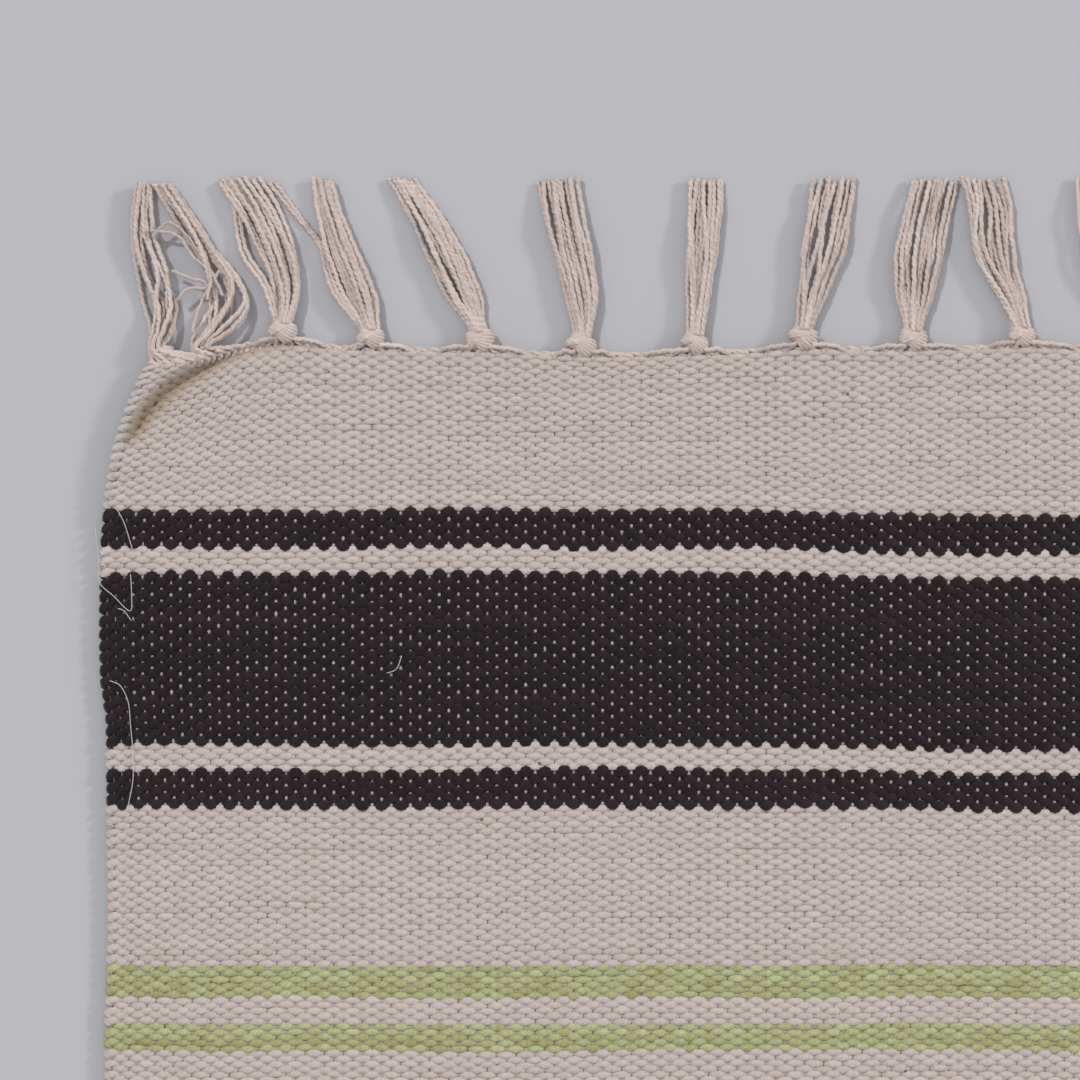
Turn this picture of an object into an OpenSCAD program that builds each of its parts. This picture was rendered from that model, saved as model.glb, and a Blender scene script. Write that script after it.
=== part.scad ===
// Flat-woven cotton runner rug with charcoal and green stripes and a knotted fringe.
//
// Frame: X runs across the rug, Y along it and Z up. The origin is on the floor under
// the middle of the rug. The head end is at +Y and the foot end at -Y.
//
// The warp yarns run along Y through the middle of the cloth. The weft covers them on
// both faces, so each stripe is a face layer of floats and a back layer of floats with
// the warp between them. The weft turns round the outer warp yarns in the selvedges.
// Past the last pick the warp ends pass between the two strands of the end cord, gather
// sideways into a knot and lie free beyond it as a tassel.

/* [Cloth] */
// Width of the rug over both selvedges
rug_w = 600; // [400:10:900]
// Warp yarns across the whole width
warp_count = 228; // [160:2:300]
// Diameter of a warp yarn
warp_d = 1.2; // [0.8:0.1:1.8]
// Thickness of the weft floats on each face
float_t = 1.2; // [0.8:0.1:2]
// Outer warp yarns held in each selvedge
selvedge_ends = 3; // [2:1:6]

/* [Stripes] */
// Length of cloth that one thick charcoal pick fills
charcoal_pick = 1.665; // [1.4:0.005:2]
// Length of cloth that one finer cream or green pick fills
fine_pick = 1.45; // [1.2:0.01:1.8]
// Picks in a broad charcoal stripe
broad_picks = 28; // [12:2:40]
// Picks in a narrow charcoal stripe
narrow_picks = 6; // [2:1:12]
// Picks in the cream pin stripe between two charcoal stripes
pin_picks = 5; // [2:1:10]
// Picks in the wider green stripe of a pair
green_wide_picks = 6; // [2:1:12]
// Picks in the narrower green stripe of a pair
green_narrow_picks = 5; // [2:1:12]
// Picks in the cream gap between two green stripes
gap_picks = 5; // [2:1:12]
// Picks in a plain cream field
field_picks = 30; // [10:2:60]

/* [Fringe] */
// Tassels along each end
tassel_count = 20; // [8:1:30]
// Distance from the rug's side to the middle of the corner knot
knot_inset = 18; // [12:1:30]
// Length of the fringe past the last pick
fringe_l = 48; // [30:1:80]
// Diameter of each strand of the end cord
cord_d = 1; // [0.6:0.1:1.2]
// Diameter of a knot seen from above
knot_d = 8; // [6:0.5:12]
// Height of a knot above the floor
knot_h = 6; // [4:0.5:8]
// Width of a tassel at its cut tip
tassel_tip_w = 10; // [6:0.5:14]
// Thickness of a tassel lying on the floor
tassel_t = 3.2; // [2:0.1:4]

/* [Hidden] */
$fn = 48;

// Running clearance between a warp yarn or a cord strand and what lies beside it
clear = 0.02;
// How many times each stripe group comes along the rug
charcoal_groups = 9;
green_pairs = charcoal_groups - 1;
cream_fields = 2 * charcoal_groups;

// Lengths along Y of the stripes, from their picks
broad_l = broad_picks * charcoal_pick;
narrow_l = narrow_picks * charcoal_pick;
pin_l = pin_picks * fine_pick;
green_wide_l = green_wide_picks * fine_pick;
green_narrow_l = green_narrow_picks * fine_pick;
gap_l = gap_picks * fine_pick;
field_l = field_picks * fine_pick;
charcoal_group_l = broad_l + 2 * (pin_l + narrow_l);
green_pair_l = green_wide_l + gap_l + green_narrow_l;
cloth_l = charcoal_groups * charcoal_group_l + green_pairs * green_pair_l
    + cream_fields * field_l;
// One repeat of the pattern: a charcoal group, a field, a green pair and a field
repeat_l = charcoal_group_l + green_pair_l + 2 * field_l;

// Heights of the layers and widths across the cloth
cloth_t = 2 * float_t + warp_d;
warp_z = float_t + warp_d / 2;
warp_pitch = rug_w / warp_count;
selvedge_w = selvedge_ends * warp_pitch;
inner_w = rug_w - 2 * selvedge_w;

// Stations along Y at the fringe, counted outwards from the last pick
gather_y = cord_d + 2 * clear;
gather_l = 0.9;
// The knot is pressed flat where the warp enters it and where the tassel leaves it
knot_flat_y = 0.75 * knot_d / 2;
knot_y = gather_y + gather_l + knot_flat_y;
tassel_y = knot_y + knot_flat_y;
knot_flat_w = 2 * sqrt(pow(knot_d / 2, 2) - pow(knot_flat_y, 2));
knot_pitch = (rug_w - 2 * knot_inset) / (tassel_count - 1);
gather_w = knot_pitch - 1;
gather_t = warp_d;

charcoal = "#322a2d";
cream = "#b9ada4";
green = "#a3a079";

// Y of the head side of charcoal group i, where group 1 is nearest the head
function charcoal_group_y(i) = cloth_l / 2 - field_l - (i - 1) * repeat_l;
// Y of the head side of green pair i, which follows charcoal group i
function green_pair_y(i) = charcoal_group_y(i) - charcoal_group_l - field_l;
// Y of the head side of cream field i: odd ones come before a charcoal group
function cream_field_y(i) = i % 2 == 1
    ? charcoal_group_y((i + 1) / 2) + field_l
    : charcoal_group_y(i / 2) - charcoal_group_l;
// X of the middle of knot i
function knot_x(i) = -rug_w / 2 + knot_inset + (i - 1) * knot_pitch;

// A stripe of weft from head_y towards the foot: its face and back layers of floats
module weft_stripe(head_y, length) {
    for (z = [0, float_t + warp_d])
        translate([-inner_w / 2, head_y - length, z])
            cube([inner_w, length, float_t]);
}

module charcoal_broad_stripe(i) {
    color(charcoal)
        weft_stripe(charcoal_group_y(i) - narrow_l - pin_l, broad_l);
}

// The two narrow stripes at the outsides of a charcoal group
module charcoal_narrow_stripes(i) {
    color(charcoal)
        for (offset_y = [0, charcoal_group_l - narrow_l])
            weft_stripe(charcoal_group_y(i) - offset_y, narrow_l);
}

module green_stripe_pair(i) {
    color(green) {
        weft_stripe(green_pair_y(i), green_wide_l);
        weft_stripe(green_pair_y(i) - green_wide_l - gap_l, green_narrow_l);
    }
}

module cream_field(i) {
    color(cream)
        weft_stripe(cream_field_y(i), field_l);
}

// The cream stripes between the narrow and broad charcoal stripes of every group
module cream_pin_stripes() {
    color(cream)
        for (i = [1 : charcoal_groups], offset_y = [narrow_l, narrow_l + pin_l + broad_l])
            weft_stripe(charcoal_group_y(i) - offset_y, pin_l);
}

// The cream stripe inside every green pair
module cream_green_gaps() {
    color(cream)
        for (i = [1 : green_pairs])
            weft_stripe(green_pair_y(i) - green_wide_l, gap_l);
}

// The edge band where the weft turns round the outer warp yarns, on side -1 or 1
module selvedge(side) {
    flat_w = selvedge_w - cloth_t / 2;
    color(cream)
        rotate([90, 0, 0])
            linear_extrude(height = cloth_l, center = true)
                translate([side * (rug_w - cloth_t) / 2, cloth_t / 2]) {
                    circle(d = cloth_t);
                    translate([-side * flat_w / 2, 0])
                        square([flat_w, cloth_t], center = true);
                }
}

// Every warp yarn between the selvedges, from gather to gather
module warp_yarns() {
    color(cream)
        for (i = [selvedge_ends : warp_count - selvedge_ends - 1])
            translate([(i + 0.5) * warp_pitch - rug_w / 2, 0, warp_z])
                rotate([90, 0, 0])
                    cylinder(d = warp_d - 2 * clear, h = cloth_l + 2 * gather_y, center = true);
}

// Draws the children, which are made for the head end, at the given end
module at_end(end) {
    mirror([0, end == "foot" ? 1 : 0, 0])
        translate([0, cloth_l / 2, 0])
            children();
}

// Two twined strands along the last pick, one over the warp and one under it
module end_cord(end) {
    color(cream)
        at_end(end)
            for (z = [cord_d / 2, cloth_t - cord_d / 2])
                translate([0, cord_d / 2 + clear, z])
                    rotate([0, 90, 0])
                        cylinder(d = cord_d, h = rug_w, center = true);
}

// Where the warp ends of one tassel turn sideways into its knot
module warp_gathers(end) {
    color(cream)
        at_end(end)
            for (i = [1 : tassel_count])
                translate([knot_x(i), gather_y, warp_z - gather_t / 2])
                    linear_extrude(height = gather_t)
                        polygon([[-gather_w / 2, 0], [gather_w / 2, 0],
                                 [knot_flat_w / 2, gather_l], [-knot_flat_w / 2, gather_l]]);
}

// A ball that rests flat on the floor, with flats where the warp enters it, where the
// tassel leaves it and on top
module knot() {
    intersection() {
        translate([0, 0, knot_h / 2])
            sphere(d = knot_d);
        translate([-knot_d / 2, -knot_flat_y, 0])
            cube([knot_d, 2 * knot_flat_y, knot_h]);
    }
}

module fringe_knots(end) {
    color(cream)
        at_end(end)
            for (i = [1 : tassel_count])
                translate([knot_x(i), knot_y, 0])
                    knot();
}

// One bundle of strands, given its two edges at the knot and its two edges at the tip
module strand_bundle(knot_edges, tip_edges) {
    linear_extrude(height = tassel_t)
        polygon([[knot_edges[0], tassel_y], [knot_edges[1], tassel_y],
                 [tip_edges[1], fringe_l], [tip_edges[0], fringe_l]]);
}

// The tassels between the corner ones
module fringe_tassels(end) {
    color(cream)
        at_end(end)
            for (i = [2 : tassel_count - 1])
                translate([knot_x(i), 0, 0])
                    strand_bundle([-knot_flat_w / 2, knot_flat_w / 2],
                                  [-tassel_tip_w / 2, tassel_tip_w / 2]);
}

// The corner knots also hold the doubled selvedge ends, so their tassels part in two
module corner_tassels() {
    color(cream)
        for (end = ["head", "foot"], i = [1, tassel_count])
            at_end(end)
                translate([knot_x(i), 0, 0]) {
                    strand_bundle([-knot_flat_w / 2, 0], [-tassel_tip_w, -1]);
                    strand_bundle([0, knot_flat_w / 2], [1, tassel_tip_w]);
                }
}

for (i = [1 : charcoal_groups]) {
    charcoal_broad_stripe(i);
    charcoal_narrow_stripes(i);
}
for (i = [1 : green_pairs])
    green_stripe_pair(i);
for (i = [1 : cream_fields])
    cream_field(i);
cream_pin_stripes();
cream_green_gaps();
selvedge(-1);  // selvedge_left
selvedge(1);  // selvedge_right
warp_yarns();
end_cord("head");  // end_cord_head
end_cord("foot");  // end_cord_foot
warp_gathers("head");  // warp_gathers_head
warp_gathers("foot");  // warp_gathers_foot
fringe_knots("head");  // fringe_knots_head
fringe_knots("foot");  // fringe_knots_foot
fringe_tassels("head");  // fringe_tassels_head
fringe_tassels("foot");  // fringe_tassels_foot
corner_tassels();
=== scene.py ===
import math

import bpy
import numpy as np
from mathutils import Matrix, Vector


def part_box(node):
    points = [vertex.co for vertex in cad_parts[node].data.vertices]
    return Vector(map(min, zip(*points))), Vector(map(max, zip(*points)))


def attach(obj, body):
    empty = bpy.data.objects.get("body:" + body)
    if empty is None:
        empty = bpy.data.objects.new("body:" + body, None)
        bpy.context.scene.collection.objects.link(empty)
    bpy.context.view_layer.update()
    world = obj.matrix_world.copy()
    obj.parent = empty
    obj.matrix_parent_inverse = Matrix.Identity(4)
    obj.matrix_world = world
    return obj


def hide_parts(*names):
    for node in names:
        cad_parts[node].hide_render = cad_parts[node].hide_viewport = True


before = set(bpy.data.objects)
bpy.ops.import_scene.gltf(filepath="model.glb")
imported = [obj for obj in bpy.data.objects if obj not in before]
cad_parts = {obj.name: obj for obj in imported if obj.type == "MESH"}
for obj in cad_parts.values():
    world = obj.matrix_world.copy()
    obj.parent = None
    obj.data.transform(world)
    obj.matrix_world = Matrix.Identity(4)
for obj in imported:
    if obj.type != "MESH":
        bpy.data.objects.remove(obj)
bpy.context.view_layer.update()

# Runner rug woven from its own yarns. Lengths are in millimetres until a mesh is made.
# X runs across the rug, Y along it towards the head end, Z up.
MM = 0.001
TURN = 2 * math.pi
random = np.random.default_rng(7)


def box_mm(name):
    low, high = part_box(name)
    return np.array(low) / MM, np.array(high) / MM


# ---------------------------------------------------------------- dimensions

LEFT, RIGHT = box_mm("selvedge_left")[0][0], box_mm("selvedge_right")[1][0]
FELL = box_mm("selvedge_left")[1][1]  # Y of the last pick at the head end
CLOTH_T = box_mm("selvedge_left")[1][2]
MID = CLOTH_T / 2
FRINGE_TIP = box_mm("corner_tassels")[1][1]

WARPS = 228
WARP_PITCH = (RIGHT - LEFT) / WARPS
SELVEDGE_ENDS = 3
# Half thickness of the warp yarns, by the weft that presses them, and where the camera
# doesn't look closely
WARP_R = {"cream": 0.6, "charcoal": 0.42, "green": 0.52}
WARP_R_FAR = 0.66
WARP_CRIMP = 0.84  # how far a warp yarn rises between two floats

CHARCOAL_GROUPS = 9
GREEN_PAIRS = CHARCOAL_GROUPS - 1
FIELD_PICKS, BROAD_PICKS, NARROW_PICKS, PIN_PICKS = 30, 28, 6, 5
GREEN_WIDE_PICKS, GAP_PICKS, GREEN_NARROW_PICKS = 6, 5, 5
FIRST_FIELD_PICKS = 32  # the cloth is beaten closer at its head end

# What the camera sees: the head end's left corner
VIEW_W = 296.7
VIEW_X, VIEW_Y = LEFT + 121.0, FELL - 51.6
# The yarns are made closely up to these places, a little past the camera's view
CLOSE_MARGIN = 4
CLOSE_X = VIEW_X + VIEW_W / 2 + CLOSE_MARGIN
CLOSE_Y = VIEW_Y - VIEW_W / 2 - CLOSE_MARGIN

# ---------------------------------------------------------------- weave lattice

column_x = LEFT + WARP_PITCH * (np.arange(WARPS) + 0.5)
column_x[[0, -1]] += [0.55, -0.55]  # the doubled edge yarns sit a little apart
column_x[[1, -2]] += [0.3, -0.3]
LAST = WARPS - 1
TURN_R = column_x[0] - LEFT - 0.6  # how far out the weft turns past the edge yarn
TURN_WIDER = 0.24  # the yarn spreads where it turns


class Stripe:
    """A run of picks of one yarn, with the CAD node that it belongs to."""

    def __init__(self, node, yarn, head_y, length, picks, first_pick):
        self.node, self.yarn = node, yarn
        self.index = first_pick + np.arange(picks)
        self.pitch = length / picks
        self.y = head_y - self.pitch * (np.arange(picks) + 0.5)
        self.close = self.y > CLOSE_Y
        self.before = self.after = yarn

    def meets(self, chosen):
        """Which of the chosen picks swell over a neighbouring cream stripe, 1 towards the head
        or -1 towards the foot, and which are pressed by a charcoal one."""
        swell, pressed = np.zeros((len(self.y), 1)), np.zeros((len(self.y), 1))
        for pick, beside, way in ((0, self.before, 1), (-1, self.after, -1)):
            if self.yarn == "charcoal":
                swell[pick] = way
            elif beside == "charcoal":
                pressed[pick] = 1
        return swell[chosen], pressed[chosen]


def plan_stripes():
    """Every stripe from the head end to the foot end, laid out from the CAD boxes."""
    stripes = []

    def add(node, yarn, length, picks):
        done = stripes[-1] if stripes else None
        head_y = FELL if done is None else done.y[-1] - done.pitch / 2
        first = 0 if done is None else done.index[-1] + 1
        stripes.append(Stripe(node, yarn, head_y, length, picks, first))

    def length_of(name):
        low, high = box_mm(name)
        return high[1] - low[1]

    field, broad = length_of("cream_field_1"), length_of("charcoal_broad_stripe_1")
    narrow = broad * NARROW_PICKS / BROAD_PICKS
    pin = (length_of("charcoal_narrow_stripes_1") - broad) / 2 - narrow
    green_pick = length_of("green_stripe_pair_1") / (
        GREEN_WIDE_PICKS + GAP_PICKS + GREEN_NARROW_PICKS
    )
    for i in range(1, CHARCOAL_GROUPS + 1):
        picks = FIRST_FIELD_PICKS if i == 1 else FIELD_PICKS
        add(f"cream_field_{2 * i - 1}", "cream", field, picks)
        add(f"charcoal_narrow_stripes_{i}", "charcoal", narrow, NARROW_PICKS)
        add("cream_pin_stripes", "cream", pin, PIN_PICKS)
        add(f"charcoal_broad_stripe_{i}", "charcoal", broad, BROAD_PICKS)
        add("cream_pin_stripes", "cream", pin, PIN_PICKS)
        add(f"charcoal_narrow_stripes_{i}", "charcoal", narrow, NARROW_PICKS)
        add(f"cream_field_{2 * i}", "cream", field, FIELD_PICKS)
        if i <= GREEN_PAIRS:
            wide, narrower = green_pick * GREEN_WIDE_PICKS, green_pick * GREEN_NARROW_PICKS
            add(f"green_stripe_pair_{i}", "green", wide, GREEN_WIDE_PICKS)
            add("cream_green_gaps", "cream", green_pick * GAP_PICKS, GAP_PICKS)
            add(f"green_stripe_pair_{i}", "green", narrower, GREEN_NARROW_PICKS)
    for stripe, following in zip(stripes, stripes[1:]):
        stripe.after, following.before = following.yarn, stripe.yarn
    return stripes


stripes = plan_stripes()
pick_y = np.concatenate([s.y for s in stripes])
PICKS = len(pick_y)

# Variation of each float, by pick and warp yarn, mostly from -1 to 1
float_fat = random.normal(0, 0.45, (PICKS, WARPS)).clip(-1, 1)
float_shift = random.normal(0, 0.45, (PICKS, WARPS)).clip(-1, 1)
float_roll = random.normal(0, 0.5, (PICKS, WARPS)).clip(-1.2, 1.2)
float_tone = random.normal(0, 0.4, (PICKS, WARPS)).clip(-1, 1)
pick_tone = random.normal(0, 0.35, PICKS).clip(-1, 1)
# Each pick's slower wander over several warp yarns
reach = np.exp(-(np.arange(-9, 10) ** 2) / 18.0)
yarn_wander = random.normal(0, 0.3, (PICKS, WARPS))
yarn_wander = np.array([np.convolve(row, reach, "same") for row in yarn_wander])
for _ in range(2):  # neighbours wander together, so that no gap opens between them
    yarn_wander = (yarn_wander + np.roll(yarn_wander, 1, axis=0)) * 0.66


# ---------------------------------------------------------------- how the cloth lies


def smooth(t):
    t = np.clip(t, 0, 1)
    return t * t * (3 - 2 * t)


# The last pick wanders: its drift in Y at places counted from the rug's left side
FELL_DRIFT_X = np.array(
    [0, 10, 18, 26, 36, 48, 56, 66, 80, 105, 132, 164, 193, 223, 253, 300, 600]
)
FELL_DRIFT_Y = np.array(
    [-4, -3.4, -2, -0.2, 1.5, 2.2, 1.7, 0.5, 0, -0.3, -1.8, -1.3, 0.5, 0, 1, 0, 0.5]
)
FELL_DRIFT_FADE = 14.0  # how far into the cloth that drift reaches
# How far each corner is drawn in, by end and side, and how far that goes down the edge and
# across from it
DRAW_IN = {(1, -1): 13.2, (1, 1): 8.0, (-1, -1): 7.0, (-1, 1): 10.0}
DRAW_DEPTH, DRAW_REACH = 54.0, 36.0
CURL_LIFT = 2.2  # the head end's left corner curls up outside a crease
# The crease runs where the distances from the edge and from the end multiply to this
CREASE_PLACE = 145.0
CREASE_WIDTH = 0.42  # as a share of that product
CREASE_END, CREASE_PRESS = 28.0, 0.6  # how far down it goes, and how flat it lies
# How far the left edge wanders inwards, at places down from the head end's last pick
EDGE_DEPTH = np.array([0, 90, 102, 128, 150, 180, 200, 260])
EDGE_IN = np.array([0.6, 0.7, 2.3, 3.5, 3.5, 3.1, 2.4, 0])
EDGE_REACH = 20.0  # how far into the cloth that goes


def corner_curl(from_edge, depth):
    """How much of the curl and of the crease a place near the corner has, both 0 to 1."""
    place = (np.clip(from_edge, 0, None) + 2) * (np.clip(depth, -1, None) + 3.8) / CREASE_PLACE
    crease = np.exp(-((np.log(place) / CREASE_WIDTH) ** 2)) * smooth((CREASE_END - depth) / 10)
    return smooth((0.95 - place) / 0.5), crease


def pick_drift(across, depth, y):
    """How far the picks wander along the rug: short ripples, a slow wave away from the head
    end, and the sag of the first stripes towards the right."""
    ripple = 0.22 * np.sin(across / 37 + 1.2 + y / 90) + 0.16 * np.sin(across / 13 + y / 31)
    slow = 0.6 * np.sin(across / 140 + y / 210) * smooth((depth - 180) / 150)
    sag = -1.5 * smooth((across - 140) / 110) * (1 - smooth((depth - 95) / 65))
    return ripple + slow + sag * smooth(depth / 30)


def settle_end(out, x, y, end):
    """The last pick's drift at one end, and its two corners drawn in."""
    depth = np.clip(FELL - end * y, 0, None)
    place = x - LEFT if end > 0 else RIGHT - x
    drift = np.interp(place, FELL_DRIFT_X, FELL_DRIFT_Y)
    out[..., 1] += end * drift * np.exp(-depth / FELL_DRIFT_FADE)
    near_end = np.clip(1 - depth / DRAW_DEPTH, 0, 1) ** 1.7
    for side in (-1, 1):
        from_edge = np.clip(x - LEFT if side < 0 else RIGHT - x, 0, None)
        near_side = np.exp(-((from_edge / DRAW_REACH) ** 2))
        out[..., 0] -= side * DRAW_IN[(end, side)] * near_end * near_side


def settle_edges(out, x, y):
    """The left edge's wander at the head end, and the small scallops of both edges."""
    edge_in = np.interp(FELL - y, EDGE_DEPTH, EDGE_IN)
    out[..., 0] += edge_in * np.exp(-np.clip(x - LEFT, 0, None) / EDGE_REACH)
    edge = np.minimum(x - LEFT, RIGHT - x)
    scallop = 0.3 * np.sin(y / 9.0) + 0.4 * np.sin(y / 31.0 + 1)
    out[..., 0] += scallop * np.exp(-np.clip(edge, 0, None) / 6) * smooth((FELL - np.abs(y)) / 40)


def settle(points):
    """Moves points of the flat lattice to where the cloth really lies."""
    x, y, z = points[..., 0], points[..., 1], points[..., 2]
    out = points.copy()
    across, depth = x - LEFT, FELL - y
    within = smooth((FELL + 30 - np.abs(y)) / 60)
    out[..., 1] += pick_drift(across, depth, y) * within
    for end in (1, -1):
        settle_end(out, x, y, end)
    curl, crease = corner_curl(across, depth)
    out[..., 2] = z * (1 - CREASE_PRESS * crease) + CURL_LIFT * curl * smooth((8 + depth) / 8)
    out[..., 2] = np.clip(out[..., 2], 0, None)
    settle_edges(out, x, y)
    return out


# ---------------------------------------------------------------- tube meshes


def unit(v):
    return v / np.maximum(np.linalg.norm(v, axis=-1, keepdims=True), 1e-9)


def oval(sides, square=1.0):
    """The outline of a yarn pressed in the cloth. Less than 1 makes it more square."""
    angle = TURN * np.arange(sides) / sides
    flat, tall = np.cos(angle), np.sin(angle)
    return flat, np.sign(tall) * np.abs(tall) ** square


# The outline of a yarn plied from two
TWO_PLY = (
    np.array([1, 0.72, 0, -0.72, -1, -0.72, 0, 0.72]),
    np.array([0, 0.68, 0.8, 0.68, 0, -0.68, -0.8, -0.68]),
)


def ring_points(centres, across, up, half_w, half_h, outline, spin=None):
    """Points of rings: centres (tube, ring, 3) to points (tube, ring, side, 3)."""
    flat, tall = outline
    a = (half_w[..., None] * flat)[..., None]
    b = (half_h[..., None] * tall)[..., None]
    if spin is not None:
        turn = spin[..., None, None]
        a, b = a * np.cos(turn) - b * np.sin(turn), a * np.sin(turn) + b * np.cos(turn)
    return centres[..., None, :] + a * across[..., None, :] + b * up[..., None, :]


class TubeMesh:
    """Collects tubes, then makes them into one mesh piece."""

    def __init__(self):
        self.points, self.tones, self.quads, self.caps = [], [], [], []
        self.quad_uv, self.quad_slot, self.cap_slot = [], [], []
        self.count = 0

    def add(self, points, along, tone, slot=0):
        """points (tube, ring, side, 3); along, in mm, and tone are (tube, ring)."""
        tubes, rings, sides, _ = points.shape
        index = self.count + np.arange(tubes * rings * sides).reshape(tubes, rings, sides)
        nxt = np.roll(index, -1, axis=2)
        quads = np.stack([index[:, :-1], nxt[:, :-1], nxt[:, 1:], index[:, 1:]], axis=-1)
        v0 = np.broadcast_to(np.arange(sides) / sides, (tubes, rings - 1, sides))
        u0 = np.broadcast_to(along[:, :-1, None], v0.shape)
        u1 = np.broadcast_to(along[:, 1:, None], v0.shape)
        v1 = v0 + 1 / sides
        corners = ((u0, v0), (u0, v1), (u1, v1), (u1, v0))
        uv = np.stack([np.stack(corner, axis=-1) for corner in corners], axis=-2)
        self.points.append(points.reshape(-1, 3))
        self.tones.append(np.repeat(tone.reshape(-1), sides))
        self.quads.append(quads.reshape(-1, 4))
        self.quad_uv.append(uv.reshape(-1, 2))
        self.quad_slot.append(np.full(len(self.quads[-1]), slot, np.int32))
        self.caps.append(index[:, 0, ::-1].reshape(-1, sides))
        self.caps.append(index[:, -1].reshape(-1, sides))
        self.cap_slot += [slot] * (2 * tubes)
        self.count += tubes * rings * sides

    def add_shading(self, mesh, loop_count, flat):
        """What the materials read: the place along and around the yarn, tone, and the crease that
        carries painted shade.
        """
        uv = np.zeros((loop_count, 2), np.float32)
        quad_uv = np.concatenate(self.quad_uv)
        uv[: len(quad_uv)] = quad_uv
        mesh.uv_layers.new(name="yarn").data.foreach_set("uv", uv.ravel())
        tone = mesh.attributes.new("tone", "FLOAT", "POINT")
        tone.data.foreach_set("value", np.concatenate(self.tones).astype(np.float32))
        if flat is not None:
            crease = corner_curl(flat[:, 0] - LEFT, FELL - flat[:, 1])[1]
            shade = mesh.attributes.new("crease", "FLOAT", "POINT")
            shade.data.foreach_set("value", crease.astype(np.float32))

    def make(self, name, materials, settled=True):
        """One mesh piece. Points of the flat lattice are settled, others only kept above the
        floor."""
        flat = np.concatenate(self.points)
        points = (settle(flat) if settled else np.maximum(flat, [-np.inf, -np.inf, 0])) * MM
        quads = np.concatenate(self.quads)
        loops = np.concatenate([quads.ravel(), *[c.ravel() for c in self.caps]])
        cap_sizes = np.concatenate([np.full(len(c), c.shape[1]) for c in self.caps])
        sizes = np.concatenate([np.full(len(quads), 4), cap_sizes])
        mesh = bpy.data.meshes.new(name)
        mesh.vertices.add(len(points))
        mesh.vertices.foreach_set("co", points.astype(np.float32).ravel())
        mesh.loops.add(len(loops))
        mesh.loops.foreach_set("vertex_index", loops.astype(np.int32))
        mesh.polygons.add(len(sizes))
        starts = np.concatenate([[0], np.cumsum(sizes)[:-1]])
        mesh.polygons.foreach_set("loop_start", starts.astype(np.int32))
        slots = np.concatenate([*self.quad_slot, np.array(self.cap_slot, np.int32)])
        mesh.polygons.foreach_set("material_index", slots.astype(np.int32))
        mesh.polygons.foreach_set("use_smooth", np.ones(len(sizes), bool))
        self.add_shading(mesh, len(loops), flat if settled else None)
        for material in materials:
            mesh.materials.append(material)
        mesh.update(calc_edges=True)
        piece = bpy.data.objects.new(name, mesh)
        bpy.context.scene.collection.objects.link(piece)
        return piece


# ---------------------------------------------------------------- materials


def add_node(tree, kind, **values):
    """A shader node, with plain attributes and input values set by name."""
    node = tree.nodes.new(kind)
    for name, value in values.items():
        if hasattr(node, name):
            setattr(node, name, value)
        else:
            node.inputs[name.replace("_", " ")].default_value = value
    return node


def maths(tree, operation, a, b=0.0, c=0.0):
    node = tree.nodes.new("ShaderNodeMath")
    node.operation = operation
    for socket, value in zip(node.inputs, (a, b, c)):
        if isinstance(value, (int, float)):
            socket.default_value = value
        else:
            tree.links.new(value, socket)
    return node.outputs[0]


def mix_colour(tree, share, a, b):
    node = tree.nodes.new("ShaderNodeMix")
    node.data_type = "RGBA"
    for socket, value in ((node.inputs[0], share), (node.inputs[6], a), (node.inputs[7], b)):
        if isinstance(value, (int, float, tuple)):
            socket.default_value = value
        else:
            tree.links.new(value, socket)
    return node.outputs[2]


def clamp(tree, value):
    return maths(tree, "MINIMUM", maths(tree, "MAXIMUM", value, 0.0), 1.0)


def about_middle(tree, noise, size, base):
    """The base, plus size times how far a noise is from its middle."""
    return maths(tree, "MULTIPLY_ADD", maths(tree, "SUBTRACT", noise.outputs[0], 0.5), size, base)


def srgb(red, green, blue):
    """A linear colour from ordinary 0 to 255 numbers."""
    values = [c / 255 for c in (red, green, blue)]
    linear = [c / 12.92 if c <= 0.04045 else ((c + 0.055) / 1.055) ** 2.4 for c in values]
    return (*linear, 1.0)


# Painted shade, warmer and duller towards the cloth's middle between the floats: from there
# to where it is deepest, and from that to where it ends, in metres
LOW_M, RISE_M = 0.0004, 0.001
PAINTED_SHADE_SHARE, CREASE_SHADE_SHARE = 0.45, 0.75  # how strong that painted shade and the crease's painted shade are
# Painted shade in the corner's crease, olive brown
CREASE_SHADE_COLOUR = srgb(146, 126, 96)
SPECULAR, SHEEN, SHEEN_ROUGHNESS = 0.25, 0.12, 0.5
BUMP_STRENGTH, BUMP_M = 0.7, 0.00018


def rare_flecks(tree, place):
    """1 in a few small specks scattered over the cloth, 0 elsewhere."""
    cells = add_node(tree, "ShaderNodeTexVoronoi", Scale=190.0)
    tree.links.new(place, cells.inputs["Vector"])
    chosen = tree.nodes.new("ShaderNodeSeparateColor")
    tree.links.new(cells.outputs["Color"], chosen.inputs[0])
    rare = maths(tree, "GREATER_THAN", chosen.outputs[0], 0.955)
    small = maths(tree, "LESS_THAN", cells.outputs["Distance"], 0.1)
    return maths(tree, "MULTIPLY", rare, small)


def painted_shade_between_floats(tree, place):
    """Where painted shade goes: 1 low in the cloth, down to 0 on top of its floats."""
    height = tree.nodes.new("ShaderNodeSeparateXYZ")
    tree.links.new(place, height.inputs[0])
    from_middle = maths(tree, "ABSOLUTE", maths(tree, "SUBTRACT", height.outputs[2], MID * MM))
    rise = maths(tree, "DIVIDE", maths(tree, "SUBTRACT", from_middle, LOW_M), RISE_M)
    return clamp(tree, maths(tree, "SUBTRACT", 1.0, rise))


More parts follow.
